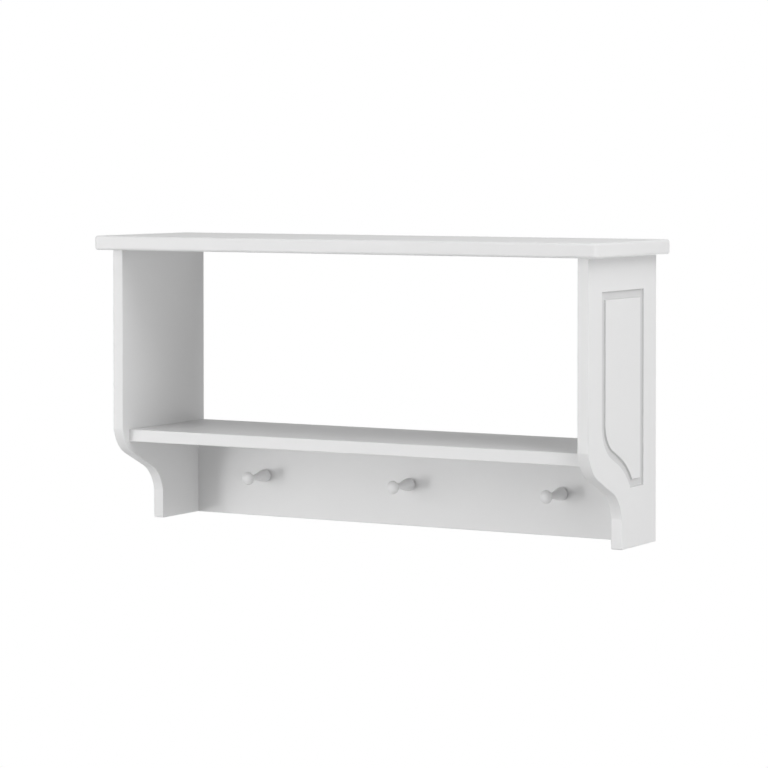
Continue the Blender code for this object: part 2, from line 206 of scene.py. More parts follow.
def peg_lacquer():
    material, shader, place = new_finish("turned_peg_lacquer")
    along = place.add("ShaderNodeSeparateXYZ", {"Vector": place}, output="Y")
    turns = along * (math.tau * TOOL_RINGS_PER_METRE)
    rings = 0.5 + 0.5 * turns.maths("SINE", turns)
    uneven = noise(place, PEG_DRIFTS_PER_METRE)
    clouds = noise(place, PEG_CLOUDS_PER_METRE)
    connect(mixed(clouds, PEG_LACQUER, PEG_LACQUER_SHADE), shader, "Base Color")
    connect(drifting(PEG_ROUGHNESS, SHEEN_DRIFT, uneven), shader, "Roughness")
    connect(bumped(rings * uneven, TOOL_RING_DEPTH), shader, "Normal")
    return material


peg_white = peg_lacquer()
print("finish:", peg_white.name)

# %% [markdown]
# ## Raw board, beech and zinc
#
# Four finishes hardly show. Where a board is cut open for a dowel or a hanger plate, the bare fibre board
# is brown and speckled. The dowels are bare beech, and a noise drawn out along the dowel gives the grain.
# The hanger plates are pressed from zinc-plated sheet, whose crystals give it a patchy sheen. Voronoi
# cells have the same straight-sided patches, which a soft noise lacks. The screws are plated alike, with
# finer crystals.

# %% Raw fibre board
FIBRE = (0.36, 0.25, 0.16)
FIBRE_DARK = (0.22, 0.15, 0.09)
FIBRE_ROUGHNESS = 0.75
FIBRE_DULLING = 0.2
FIBRES_PER_METRE = 900.0
FIBRE_DEPTH = 0.0001


def raw_fibre_board():
    material, shader, place = new_finish("raw_fibre_board")
    fibres = noise(place, FIBRES_PER_METRE, detail=4.0, roughness=0.7)
    connect(mixed(fibres, FIBRE, FIBRE_DARK), shader, "Base Color")
    connect(FIBRE_ROUGHNESS + FIBRE_DULLING * fibres, shader, "Roughness")
    connect(bumped(fibres, FIBRE_DEPTH), shader, "Normal")
    return material


raw_board = raw_fibre_board()
print("finish:", raw_board.name)

# %% Beech, with the grain along one axis
X, Y, Z = range(3)
BEECH = (0.62, 0.43, 0.26)
BEECH_DARK = (0.48, 0.31, 0.17)
BEECH_ROUGHNESS = 0.55
STREAK_DULLING = 0.25
STREAKS_PER_METRE = 1400.0
STREAK_DEPTH = 0.00005
GRAIN_STRETCH = 0.06


def beech(axis):
    """Fine streaks: a noise drawn out along the axis by scaling that coordinate down."""
    material, shader, place = new_finish(f"beech_along_{'xyz'[axis]}")
    scale = [1.0, 1.0, 1.0]
    scale[axis] = GRAIN_STRETCH
    drawn_out = place.add("ShaderNodeMapping", {"Vector": place, "Scale": scale})
    streaks = noise(drawn_out, STREAKS_PER_METRE, detail=3.0, roughness=0.6)
    connect(mixed(streaks, BEECH, BEECH_DARK), shader, "Base Color")
    connect(BEECH_ROUGHNESS + STREAK_DULLING * streaks, shader, "Roughness")
    connect(bumped(streaks, STREAK_DEPTH), shader, "Normal")
    return material


beech_along = {axis: beech(axis) for axis in (X, Z)}
print("finish:", [material.name for material in beech_along.values()])

# %% Zinc
ZINC = (0.38, 0.39, 0.40)
ZINC_PALE = (0.47, 0.48, 0.485)
CRYSTAL_DULLING = 0.12
SCUFF_DULLING = 0.08
SCUFFS_PER_METRE = 2500.0
DIMPLES_PER_METRE = 1500.0
DIMPLE_DEPTH = 0.00002


def zinc(name, crystals_per_metre, roughness):
    """Plated steel: every crystal of the zinc has its own shade and its own sheen."""
    material, shader, place = new_finish(name)
    shader.inputs["Metallic"].default_value = 1.0
    cells = {"Vector": place, "Scale": crystals_per_metre}
    crystals = place.add("ShaderNodeTexVoronoi", cells, output="Color")
    shade = place.add("ShaderNodeSeparateColor", {"Color": crystals}, output="Red")
    scuffs = noise(place, SCUFFS_PER_METRE)
    connect(mixed(shade, ZINC, ZINC_PALE), shader, "Base Color")
    connect(roughness + CRYSTAL_DULLING * shade + SCUFF_DULLING * scuffs, shader, "Roughness")
    connect(bumped(noise(place, DIMPLES_PER_METRE), DIMPLE_DEPTH), shader, "Normal")
    return material


plate_zinc = zinc("plate_zinc", crystals_per_metre=350.0, roughness=0.28)
screw_zinc = zinc("screw_zinc", crystals_per_metre=900.0, roughness=0.24)
print("finish:", plate_zinc.name, screw_zinc.name)

# %% [markdown]
# ## Boards
#
# A board is a box whose edges a joiner has rounded. The box comes from the frame, and a bevel on chosen
# edges does the rounding; a Bevel modifier would also round the edges that stand against the wall or
# another board. Beside a smooth bevel, a large flat face would shade as if it were bowed, because the two
# share their corner normals. A Weighted Normal modifier gives those corners to the larger face.

# %% Making, cutting and settling a piece
SHARP_ANGLE = math.radians(35)


def add_piece(name, bm, material):
    """A new object at the origin, with its place in its mesh."""
    bmesh.ops.recalc_face_normals(bm, faces=bm.faces)
    mesh = bpy.data.meshes.new(name)
    bm.to_mesh(mesh)
    bm.free()
    mesh.materials.append(material)
    piece = bpy.data.objects.new(name, mesh)
    bpy.context.scene.collection.objects.link(piece)
    return piece


def cut(piece, bm, label, material):
    """Takes a closed shape out of a piece; the fresh faces get the cutter's material."""
    cutter = add_piece(f"{piece.name}_{label}", bm, material)
    modifier = piece.modifiers.new(label, "BOOLEAN")
    modifier.solver = "EXACT"
    modifier.material_mode = "TRANSFER"
    modifier.object = cutter


def evaluated_mesh(piece):
    """A copy of the mesh that a piece's modifiers make."""
    graph = bpy.context.evaluated_depsgraph_get()
    return bpy.data.meshes.new_from_object(piece.evaluated_get(graph))


def settle(piece):
    """Makes a piece's modifiers into a plain mesh with smooth rounds, flat flats and sharp corners."""
    mesh = evaluated_mesh(piece)
    cutters = [modifier.object for modifier in piece.modifiers if modifier.type == "BOOLEAN"]
    piece.modifiers.clear()
    piece.data = mesh
    for cutter in cutters:
        bpy.data.objects.remove(cutter)
    mesh.shade_smooth()
    mesh.set_sharp_from_angle(angle=SHARP_ANGLE)
    piece.modifiers.new("flat flats", "WEIGHTED_NORMAL").keep_sharp = True
    piece.data = evaluated_mesh(piece)
    piece.modifiers.clear()


def dress(piece, slot, *nodes):
    """The piece stands for these solids, which are hidden, and hangs from the root body; slot is not used.
    """
    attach(piece, "root")
    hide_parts(*nodes)
    print(piece.name, "stands for", ", ".join(nodes), "with", len(piece.data.polygons), "faces")


# %% A box with some edges rounded
NEAR = 0.00001
RIM_STEPS = 8


def box(low, high):
    bm = bmesh.new()
    bmesh.ops.create_cube(bm, size=1.0)
    place = Matrix.Translation((low + high) / 2) @ Matrix.Diagonal((*(high - low), 1.0))
    bmesh.ops.transform(bm, matrix=place, verts=bm.verts)
    return bm


def lies_on(edge, axis, value):
    """Whether an edge lies in the plane where a coordinate has that value."""
    return all(abs(vert.co[axis] - value) < NEAR for vert in edge.verts)


def round_edges(bm, chosen, radius, steps=RIM_STEPS):
    """Rounds the edges for which a test holds."""
    edges = [edge for edge in bm.edges if chosen(edge)]
    bmesh.ops.bevel(bm, geom=edges, offset=radius, segments=steps, profile=0.5, affect="EDGES")


# %% [markdown]
# The boards are joined with dowels that nobody sees. Each hole is a closed cylinder, placed by the
# dowel's own box, and an exact Boolean takes it out. The fresh faces keep the cutter's material, so the
# inside of a hole shows the raw board.

# %% Round holes, as cutters
HOLE_SIDES = 24
HOLE_ROOM = 0.0003  # round a dowel or a tenon, for the glue


def rod(start, end, radius):
    """A closed cylinder from one point to another."""
    bm = bmesh.new()
    way = end - start
    place = Matrix.Translation((start + end) / 2) @ way.to_track_quat("Z", "Y").to_matrix().to_4x4()
    radii = {"radius1": radius, "radius2": radius}
    bmesh.ops.create_cone(bm, cap_ends=True, segments=HOLE_SIDES, depth=way.length, matrix=place, **radii)
    return bm


def joined(shapes):
    """Several separate shapes in one bmesh."""
    whole = bmesh.new()
    for shape in shapes:
        mesh = bpy.data.meshes.new("shape")
        shape.to_mesh(mesh)
        shape.free()
        whole.from_mesh(mesh)
        bpy.data.meshes.remove(mesh)
    return whole


def longest_axis(size):
    return max((X, Y, Z), key=lambda axis: size[axis])


def dowel_hole(node):
    """The hole for a dowel, from the dowel's own box: its longest side is its axis."""
    low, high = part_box(node)
    size = high - low
    axis = longest_axis(size)
    middle = (low + high) / 2
    half = Vector((0.0, 0.0, 0.0))
    half[axis] = size[axis] / 2 + HOLE_ROOM
    radius = size[(axis + 1) % 3] / 2 + HOLE_ROOM
    return rod(middle - half, middle + half, radius)


def drill_for_dowels(piece, *words):
    """Drills a board for every dowel whose name holds one of the words."""
    found = [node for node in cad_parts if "dowel" in node and any(word in node for word in words)]
    cut(piece, joined([dowel_hole(node) for node in sorted(found)]), "dowel_holes", raw_board)


# %% [markdown]
# ## The top board
#
# The top overhangs the sides. Its two front corners are rounded first, and then a router has run round
# the front and the ends with a smaller quarter-round bit, above and below. The bevels come in the same
# order, so that the rim follows the round corners. The back edge stays square against the wall, with only
# its sharpness taken off.

# %% Top board
TOP_CORNER = 0.006
TOP_ROUND_OVER = 0.0042
BACK_EASE = 0.0006
FINE_STEPS = 2

top_low, top_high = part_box("top_board")
shape = box(top_low, top_high)


def is_front_corner(edge):
    at_end = lies_on(edge, X, top_low.x) or lies_on(edge, X, top_high.x)
    return at_end and lies_on(edge, Y, top_low.y)


def is_back(edge):
    return lies_on(edge, Y, top_high.y)


def is_rim(edge):
    level = lies_on(edge, Z, top_low.z) or lies_on(edge, Z, top_high.z)
    return level and not is_back(edge)


round_edges(shape, is_front_corner, TOP_CORNER)
round_edges(shape, is_rim, TOP_ROUND_OVER)
round_edges(shape, is_back, BACK_EASE, FINE_STEPS)
top_board = add_piece("lacquered_top", shape, white)
drill_for_dowels(top_board, "top_dowel")
settle(top_board)
dress(top_board, "white_lacquer", "top_board")

# %% [markdown]
# ## Shelf and rail
#
# Both run from side to side. In the frame they stop short of the sides by the thickness of the glue; here
# they reach them, because lacquer has filled that line. Only the edges that show are eased.

# %% Shelf board
EASED_EDGE = 0.0015
EASE_STEPS = 4

left_low, left_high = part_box("left_side_panel")
right_low, right_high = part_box("right_side_panel")
inner_left = left_high.x
inner_right = right_low.x

shelf_low, shelf_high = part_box("shelf_board")
shelf_low.x = inner_left
shelf_high.x = inner_right
shape = box(shelf_low, shelf_high)


def is_long_front(edge):
    at_end = lies_on(edge, X, shelf_low.x) or lies_on(edge, X, shelf_high.x)
    return lies_on(edge, Y, shelf_low.y) and not at_end


round_edges(shape, is_long_front, EASED_EDGE, EASE_STEPS)
shelf_board = add_piece("lacquered_shelf", shape, white)
drill_for_dowels(shelf_board, "shelf_dowel", "shelf_rail_dowel")
settle(shelf_board)
dress(shelf_board, "white_lacquer", "shelf_board")

# %% [markdown]
# The rail also has a blind bore behind every peg, for the peg's tenon.

# %% Peg rail
PEG_NODES = ("left_peg", "middle_peg", "right_peg")
TENON_RADIUS = 0.005

rail_low, rail_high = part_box("peg_rail")
rail_low.x = inner_left
rail_high.x = inner_right
rail_high.z = shelf_low.z
shape = box(rail_low, rail_high)


def is_lower_front(edge):
    return lies_on(edge, Y, rail_low.y) and lies_on(edge, Z, rail_low.z)


round_edges(shape, is_lower_front, EASED_EDGE, EASE_STEPS)
peg_rail = add_piece("lacquered_rail", shape, white)
drill_for_dowels(peg_rail, "rail_dowel")
bores = []
for node in PEG_NODES:
    low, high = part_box(node)
    middle = (low + high) / 2
    mouth = Vector((middle.x, rail_low.y - HOLE_ROOM, middle.z))
    end = Vector((middle.x, high.y + HOLE_ROOM, middle.z))
    bores.append(rod(mouth, end, TENON_RADIUS + HOLE_ROOM))
cut(peg_rail, joined(bores), "peg_bores", raw_board)
settle(peg_rail)
dress(peg_rail, "white_lacquer", "peg_rail")

# %% [markdown]
# ## The ogee sides
#
# Each side is a board sawn to a profile: straight down, then an S of two equal arcs with a short straight
# between them, then a narrow leg with a rounded toe. On the real shelf a faint line shows where the S
# meets the straight edges, so each arc stops a few degrees before it would run smoothly into them. A
# router has eased the profile and cut one flat-bottomed groove into the outer face, parallel to the
# outline, with square corners. The S is worked out from a few sizes: its straight touches both circles,
# so the line between their centres tells how far it leans. The groove is a section swept round a closed
# path. Curve to Mesh would pinch it at the square corners, so the sweep is written out here with a mitre
# at every turn, and a Boolean takes it out of the board.

# %% The outline of a side
LEG_DEPTH = 0.118
OGEE_TOP = 0.160  # heights above the foot
OGEE_BOTTOM = 0.035
OGEE_RADIUS = 0.0567
OGEE_BREAK = math.radians(9)  # how far each arc stops short of the straight edge
TOE_RADIUS = 0.003
ARC_STEPS = 28

foot = right_low.z
panel_depth = right_high.y - right_low.y
panel_height = top_low.z - foot
panel_thickness = right_high.x - right_low.x


def arc(centre, radius, start, end, steps=ARC_STEPS):
    """Points along an arc, from one angle to another."""
    angles = (start + (end - start) * i / steps for i in range(steps + 1))
    return [Vector((centre[0] + radius * math.cos(t), centre[1] + radius * math.sin(t))) for t in angles]


reach = OGEE_RADIUS * math.cos(OGEE_BREAK)
upper_middle = Vector((panel_depth - reach, OGEE_TOP))
lower_middle = Vector((LEG_DEPTH + reach, OGEE_BOTTOM))
between = lower_middle - upper_middle
slope = math.atan2(-between.y, between.x) - math.acos(2 * OGEE_RADIUS / between.length)
outline = [Vector((0, 0)), Vector((0, panel_height)), Vector((panel_depth, panel_height))]
outline += arc(upper_middle, OGEE_RADIUS, -OGEE_BREAK, -slope)
outline += arc(lower_middle, OGEE_RADIUS, math.pi - slope, math.pi - OGEE_BREAK)
outline += arc((LEG_DEPTH - TOE_RADIUS, TOE_RADIUS), TOE_RADIUS, 0, -math.pi / 2, RIM_STEPS)
print("ogee: straight run leans", round(math.degrees(slope), 1), "degrees from upright")

# %% The groove's path and section
GROOVE_WIDTH = 0.012
GROOVE_DEPTH = 0.0033
GROOVE_SIDE_LEAN = math.radians(8)
GROOVE_FLOOR_ROUNDING = 0.0005
GROOVE_MARGIN = 0.050
GROOVE_TOP_MARGIN = 0.056
GROOVE_FOOT = 0.095
GROOVE_BEND_RADIUS = 0.050
LIP_EASE = 0.0002
LIP_LEAN = math.radians(16)
CUT_OVERRUN = 0.001


def groove_path():
    """The closed middle line, in depth from the wall and height above the foot."""
    front = panel_depth - GROOVE_MARGIN
    bend_height = upper_middle.y + (GROOVE_MARGIN + GROOVE_BEND_RADIUS - OGEE_RADIUS) * math.tan(slope / 2)
    bend = arc((front - GROOVE_BEND_RADIUS, bend_height), GROOVE_BEND_RADIUS, 0, -slope)
    hollow_radius = OGEE_RADIUS + GROOVE_MARGIN
    stop = math.pi - math.asin((GROOVE_FOOT - lower_middle.y) / hollow_radius)
    hollow = arc(lower_middle, hollow_radius, math.pi - slope, stop)
    top = panel_height - GROOVE_TOP_MARGIN
    corners = [Vector((GROOVE_MARGIN, top)), Vector((front, top))]
    return corners + bend + hollow + [Vector((GROOVE_MARGIN, GROOVE_FOOT))]


def groove_section():
    """Offsets across and depths below the face: a flat floor, leaning sides, lips that go past the face."""
    lean = GROOVE_SIDE_LEAN
    rise = GROOVE_DEPTH - GROOVE_FLOOR_ROUNDING
    middle = GROOVE_WIDTH / 2 - (GROOVE_FLOOR_ROUNDING + rise * math.sin(lean)) / math.cos(lean)
    corner = arc((middle, rise), GROOVE_FLOOR_ROUNDING, math.pi / 2, lean, EASE_STEPS)
    shoulder = Vector((GROOVE_WIDTH / 2 - LIP_EASE * math.tan(lean), LIP_EASE))
    lip = Vector((shoulder.x + LIP_EASE / 2, LIP_EASE / 4))
    past = Vector((lip.x + (lip.y + CUT_OVERRUN) / math.tan(LIP_LEAN), -CUT_OVERRUN))
    right = corner + [shoulder, lip, past]
    left = [Vector((-point.x, point.y)) for point in reversed(right)]
    return left + right


def groove_cutter(face_x, side):
    """The section swept round the path, mitred where the path turns."""
    path = groove_path()
    section = groove_section()
    bm = bmesh.new()
    rings = []
    for i, point in enumerate(path):
        before = (point - path[i - 1]).normalized().orthogonal()
        after = (path[(i + 1) % len(path)] - point).normalized().orthogonal()
        mitre = (before + after) / (1 + before.dot(after))
        ring = []
        for across, depth in section:
            spot = point + mitre * across
            ring.append(bm.verts.new((face_x - side * depth, -spot.x, foot + spot.y)))
        rings.append(ring)
    for ring, following in zip(rings, rings[1:] + rings[:1]):
        for j in range(len(section)):
            k = (j + 1) % len(section)
            bm.faces.new((ring[j], ring[k], following[k], following[j]))
    return bm


print("groove:", len(groove_path()), "points round,", len(groove_section()), "across")

# %% [markdown]
# At the back, each side takes a keyhole plate: a shallow mortise for the plate, and a deeper pocket
# behind it for the head of the wall screw. The mortise gets its place and size from the plate's own box.

# %% Mortise and pocket behind a hanger plate
PLATE_ROOM = 0.0003
ENTRY_RADIUS = 0.0045
SLOT_RADIUS = 0.0025
KEYHOLE_REACH = 0.0055  # from the plate's middle to the centre of either end of its keyhole
POCKET_ROOM = 0.001
POCKET_DEPTH = 0.012
PLATE_STEPS = 16


def prism(corners, push):
    """A flat outline of points in space, pushed along to make it solid."""
    bm = bmesh.new()
    face = bm.faces.new([bm.verts.new(corner) for corner in corners])
    made = bmesh.ops.extrude_face_region(bm, geom=[face])
    moved = [item for item in made["geom"] if isinstance(item, bmesh.types.BMVert)]
    bmesh.ops.translate(bm, verts=moved, vec=push)
    return bm


def upright_prism(points, front, back):
    """An outline in X and Z, pushed from one depth to another."""
    return prism([(point.x, front, point.y) for point in points], (0, back - front, 0))


def slot_outline(x, z, ends, radius):
    """An upright slot; the centres of its round ends lie so far above and below its middle."""
    upper_end = arc((x, z + ends), radius, 0, math.pi, PLATE_STEPS)
    return upper_end + arc((x, z - ends), radius, math.pi, math.tau, PLATE_STEPS)


def plate_sizes(name):
    """A plate's middle, half its width, the reach of its round ends' centres, and its inner face."""
    low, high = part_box(f"{name}_hanger_plate")
    half = (high.x - low.x) / 2
    ends = (high.z - low.z) / 2 - half
    return (low + high) / 2, half, ends, low.y


def cut_for_plate(piece, name):
    middle, half, ends, floor = plate_sizes(name)
    mortise = slot_outline(middle.x, middle.z, ends, half + PLATE_ROOM)
    cut(piece, upright_prism(mortise, floor - PLATE_ROOM, CUT_OVERRUN), "mortise", raw_board)
    pocket = slot_outline(middle.x, middle.z, KEYHOLE_REACH, ENTRY_RADIUS + POCKET_ROOM)
    cut(piece, upright_prism(pocket, -POCKET_DEPTH, CUT_OVERRUN), "pocket", raw_board)


# %% Both sides
SIDES = (("left", left_low.x, -1), ("right", right_high.x, 1))


def ogee_side(name, face_x, side):
    """One side panel: pushed through the board, eased, grooved, drilled and let in for its plate."""
    corners = [(face_x, -point.x, foot + point.y) for point in outline]
    bm = prism(corners, (-side * panel_thickness, 0, 0))

    def shows(edge):
        across = abs(edge.verts[0].co.x - edge.verts[1].co.x) > NEAR
        return not across and not lies_on(edge, Y, 0.0) and not lies_on(edge, Z, foot + panel_height)

    round_edges(bm, shows, EASED_EDGE, EASE_STEPS)
    piece = add_piece(f"{name}_ogee_side", bm, white)
    # The groove's fresh faces take the greyer lacquer: painted shade for the hollow.
    cut(piece, groove_cutter(face_x, side), "groove", groove_white_painted_shade)
    drill_for_dowels(piece, f"{name}_top_dowel", f"{name}_shelf_dowel", f"{name}_rail_dowel")
    cut_for_plate(piece, name)
    settle(piece)
    dress(piece, "white_lacquer", f"{name}_side_panel")


for name, face_x, side in SIDES:
    ogee_side(name, face_x, side)

# %% [markdown]
# ## Copies in rows
#
# Pegs, plates and screws are all one shape repeated. Array modifiers would do it too, but each piece
# would need its own chain of them. One Geometry Nodes tree serves all three: it sets points in a grid on
# the upright plane, puts a copy of the incoming mesh on every point, makes the copies real and gives them
# their finish. The object's mesh is the one shape, and the modifier's inputs are the counts and
# distances.

# %% The tree that sets out copies
def rows_of_copies():
    """The tree, and the identifier of each of its inputs."""
    tree = bpy.data.node_groups.new("rows_of_copies", "GeometryNodeTree")
    face = tree.interface
    face.new_socket("Geometry", in_out="OUTPUT", socket_type="NodeSocketGeometry")
    kinds = {
        "Geometry": "NodeSocketGeometry",
        "Columns": "NodeSocketInt",
        "Rows": "NodeSocketInt",
        "Width": "NodeSocketFloat",
        "Height": "NodeSocketFloat",
        "Middle": "NodeSocketVector",
        "Finish": "NodeSocketMaterial",
    }
    names = {}
    for name, kind in kinds.items():
        names[name] = face.new_socket(name, in_out="INPUT", socket_type=kind).identifier
    start = Wire(tree)
    entry = tree.nodes.new("NodeGroupInput")
    given = {name: Wire(tree, entry.outputs[name]) for name in kinds}
    grid = start.add(
        "GeometryNodeMeshGrid",
        {
            "Size X": given["Width"],
            "Size Y": given["Height"],
            "Vertices X": given["Columns"],
            "Vertices Y": given["Rows"],
        },
    )
    upright = start.add(
        "GeometryNodeTransform",
        {"Geometry": grid, "Translation": given["Middle"], "Rotation": (math.pi / 2, 0, 0)},
    )
    copies = start.add("GeometryNodeInstanceOnPoints", {"Points": upright, "Instance": given["Geometry"]})
    real = start.add("GeometryNodeRealizeInstances", {"Geometry": copies})
    finished = start.add("GeometryNodeSetMaterial", {"Geometry": real, "Material": given["Finish"]})
    leave = tree.nodes.new("NodeGroupOutput")
    tree.links.new(finished.socket, leave.inputs["Geometry"])
    return tree, names


copies_tree, copies_inputs = rows_of_copies()


def set_out(piece, finish, columns, width, middle, rows=1, height=0.0):
    """Repeats a piece's mesh over a grid and leaves the result as a plain mesh."""
    modifier = piece.modifiers.new("rows", "NODES")
    modifier.node_group = copies_tree
    values = {
        "Columns": columns,
        "Rows": rows,
        "Width": width,
        "Height": height,
        "Middle": middle,
        "Finish": finish,
    }
    for name, value in values.items():
        modifier[copies_inputs[name]] = value
    settle(piece)


print("copies tree:", len(copies_tree.nodes), "nodes")

# %% [markdown]
# ## Turned pegs
#
# A Shaker peg is turned from one stick: a foot that swells against the rail, a long flare down to a thin
# neck, and a flattened ball that keeps a loop from slipping off. Its half section is spun round the axis,
# as on the lathe. The flare is half a cosine wave, so it leaves the foot and meets the neck without a
# kink, and the head is part of an ellipse.

# %% A peg's half section
FOOT_RADIUS = 0.0100
FOOT_ROUNDING = 0.0040
FLARE_LENGTH = 0.034
NECK_RADIUS = 0.0045
HEAD_RADIUS = 0.0102
HEAD_THICKNESS = 0.0120
FLARE_STEPS = 28
HEAD_STEPS = 28
SAME_POINT = 0.000001

peg_low, peg_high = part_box("middle_peg")
peg_length = rail_low.y - peg_low.y
tenon_length = peg_high.y - rail_low.y


def spun(profile, steps):
    """A half section of (radius, distance) points spun round Y; distance counts towards the room."""
    bm = bmesh.new()
    points = [bm.verts.new((radius, -distance, 0)) for radius, distance in profile]
    edges = [bm.edges.new(pair) for pair in zip(points, points[1:])]
    turn = {"cent": (0, 0, 0), "axis": (0, 1, 0), "angle": math.tau}
    bmesh.ops.spin(bm, geom=points + edges, steps=steps, use_merge=True, **turn)
    bmesh.ops.remove_doubles(bm, verts=bm.verts, dist=SAME_POINT)
    return bm


def peg_profile():
    half = HEAD_THICKNESS / 2
    head = peg_length - half
    turn = math.pi - math.asin(NECK_RADIUS / HEAD_RADIUS)
    angles = [turn * i / HEAD_STEPS for i in range(1, HEAD_STEPS + 1)]
    profile = [(0, peg_length)]
    profile += [(HEAD_RADIUS * math.sin(t), head + half * math.cos(t)) for t in angles]
    for i in range(FLARE_STEPS + 1):
        share = i / FLARE_STEPS
        swell = (FOOT_RADIUS - NECK_RADIUS) * (1 - math.cos(math.pi * share)) / 2
        profile.append((NECK_RADIUS + swell, FOOT_ROUNDING + FLARE_LENGTH * (1 - share)))
    rim = arc((FOOT_RADIUS - FOOT_ROUNDING, FOOT_ROUNDING), FOOT_ROUNDING, 0, -math.pi / 2, RIM_STEPS)
    profile += [tuple(point) for point in rim[1:]]
    return profile + [(TENON_RADIUS, 0), (TENON_RADIUS, -tenon_length), (0, -tenon_length)]


print("peg:", round(1000 * peg_length, 1), "mm out from the rail")

# %% Three pegs in a row
TURNING_STEPS = 64


def middle_of(node):
    low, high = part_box(node)
    return (low + high) / 2


first_x = middle_of(PEG_NODES[0]).x
last_x = middle_of(PEG_NODES[-1]).x
row_middle = Vector(((first_x + last_x) / 2, rail_low.y, (peg_low.z + peg_high.z) / 2))
pegs = add_piece("turned_pegs", spun(peg_profile(), TURNING_STEPS), peg_white)
set_out(pegs, peg_white, columns=len(PEG_NODES), width=last_x - first_x, middle=row_middle)
dress(pegs, "peg_lacquer", *PEG_NODES)

# %% [markdown]
# ## Keyhole plates and their screws
#
# Nothing holds the shelf from the front, so it hangs on two small keyhole plates, let flush into the back
# edges of the sides. A wall screw's head goes in at the round end and the narrow slot keeps it. Each
# plate has two countersunk screws with a plain cross in the head. A plate is an outline pushed to its
# thickness. Booleans take out its holes before it is copied, so each hole is cut once and both plates are
# alike.

# %% Keyhole plates
PLATE_EASE = 0.00025
SCREW_HEAD_RADIUS = 0.0030
SCREW_RADIUS = 0.0015
SCREW_HEAD_DEPTH = SCREW_HEAD_RADIUS - SCREW_RADIUS  # a cone of 90 degrees
COUNTERSINK_DEPTH = 3 * SCREW_HEAD_DEPTH  # out through the plate's far side
COUNTERSINK_SIDES = 32

left_middle, plate_half, plate_ends, plate_floor = plate_sizes("left")
plates_apart = middle_of("right_hanger_plate").x - left_middle.x
lower_screw_z = middle_of("left_hanger_lower_screw").z
upper_screw_z = middle_of("left_hanger_upper_screw").z


def keyhole_outline():
    """Round entry below a narrower slot that is closed at the top, centred on the origin."""
    upper_end = arc((0, KEYHOLE_REACH), SLOT_RADIUS, 0, math.pi, PLATE_STEPS)
    mouth = math.asin(SLOT_RADIUS / ENTRY_RADIUS)
    start = math.pi / 2 + mouth
    end = start + math.tau - 2 * mouth
    return upper_end + arc((0, -KEYHOLE_REACH), ENTRY_RADIUS, start, end, 2 * PLATE_STEPS)


def countersink(height):
    """The conical hole for a screw, at a height above the plate's middle."""
    profile = [
        (0, -CUT_OVERRUN),
        (SCREW_HEAD_RADIUS + CUT_OVERRUN, -CUT_OVERRUN),
        (SCREW_RADIUS + PLATE_ROOM, SCREW_HEAD_DEPTH),
        (SCREW_RADIUS + PLATE_ROOM, COUNTERSINK_DEPTH),
        (0, COUNTERSINK_DEPTH),
    ]
    bm = spun(profile, COUNTERSINK_SIDES)
    bmesh.ops.translate(bm, verts=bm.verts, vec=(0, 0, height))
    return bm


blank = upright_prism(slot_outline(0, 0, plate_ends, plate_half), plate_floor, 0.0)
plates = add_piece("keyhole_plates", blank, plate_zinc)
keyhole = upright_prism(keyhole_outline(), plate_floor - CUT_OVERRUN, CUT_OVERRUN)
cut(plates, keyhole, "keyhole", plate_zinc)
holes = [countersink(height - left_middle.z) for height in (lower_screw_z, upper_screw_z)]
cut(plates, joined(holes), "countersinks", plate_zinc)
ease = plates.modifiers.new("ease", "BEVEL")
ease.width = PLATE_EASE
ease.segments = FINE_STEPS
ease.angle_limit = SHARP_ANGLE
set_out(plates, plate_zinc, columns=2, width=plates_apart, middle=Vector((0, 0, left_middle.z)))
dress(plates, "zinc_plate", "left_hanger_plate", "right_hanger_plate")

# %% Countersunk screws
CROSS_WIDTH = 0.0007
CROSS_REACH = 0.0019
CROSS_DEPTH = 0.0011
SCREW_TIP = 0.003

screw_low, screw_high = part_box("left_hanger_lower_screw")
screw_length = screw_high.y - screw_low.y
profile = [
    (0, 0),
    (SCREW_HEAD_RADIUS, 0),
    (SCREW_RADIUS, SCREW_HEAD_DEPTH),
    (SCREW_RADIUS, screw_length - SCREW_TIP),
    (0, screw_length),
]
screws = add_piece("plate_screws", spun(profile, COUNTERSINK_SIDES), screw_zinc)
arms = {"slot": (CROSS_REACH, CROSS_WIDTH / 2), "cross": (CROSS_WIDTH / 2, CROSS_REACH)}
for label, (reach_x, reach_z) in arms.items():
    low = Vector((-reach_x, -CROSS_DEPTH, -reach_z))
    high = Vector((reach_x, CUT_OVERRUN, reach_z))
    cut(screws, box(low, high), label, screw_zinc)
set_out(
    screws,
    screw_zinc,
    columns=2,
    width=plates_apart,
    middle=Vector((0, screw_high.y, left_middle.z)),
    rows=2,
    height=upper_screw_z - lower_screw_z,
)
dress(screws, "zinc_screw", *(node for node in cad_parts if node.endswith("_screw")))

# %% [markdown]
# ## Dowels
#
# The dowels are shut inside the boards. Their solids are right as they are, so they only get a finish:
# beech, with the grain along each dowel's longest side.

# %% Finish on the dowels
dowels = [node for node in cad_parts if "dowel" in node]
for node in dowels:
    low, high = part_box(node)
    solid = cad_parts[node]
    solid.data.materials.clear()
    solid.data.materials.append(beech_along[longest_axis(high - low)])
print(len(dowels), "dowels in beech")

# %% [markdown]
# ## Floor and white surroundings
#
# The shelf hangs with its pegs at about head height, so the floor lies well below it. Round the spot
# under the shelf the floor is a plain pale surface that takes a soft shadow. Farther out it fades to the
# same white as the surroundings, so that no horizon shows. The white is only for what looks at it
# straight or in a reflection. If it also lit the shelf, the shadows would grow faint, so the rest of the
# light comes from lamps.

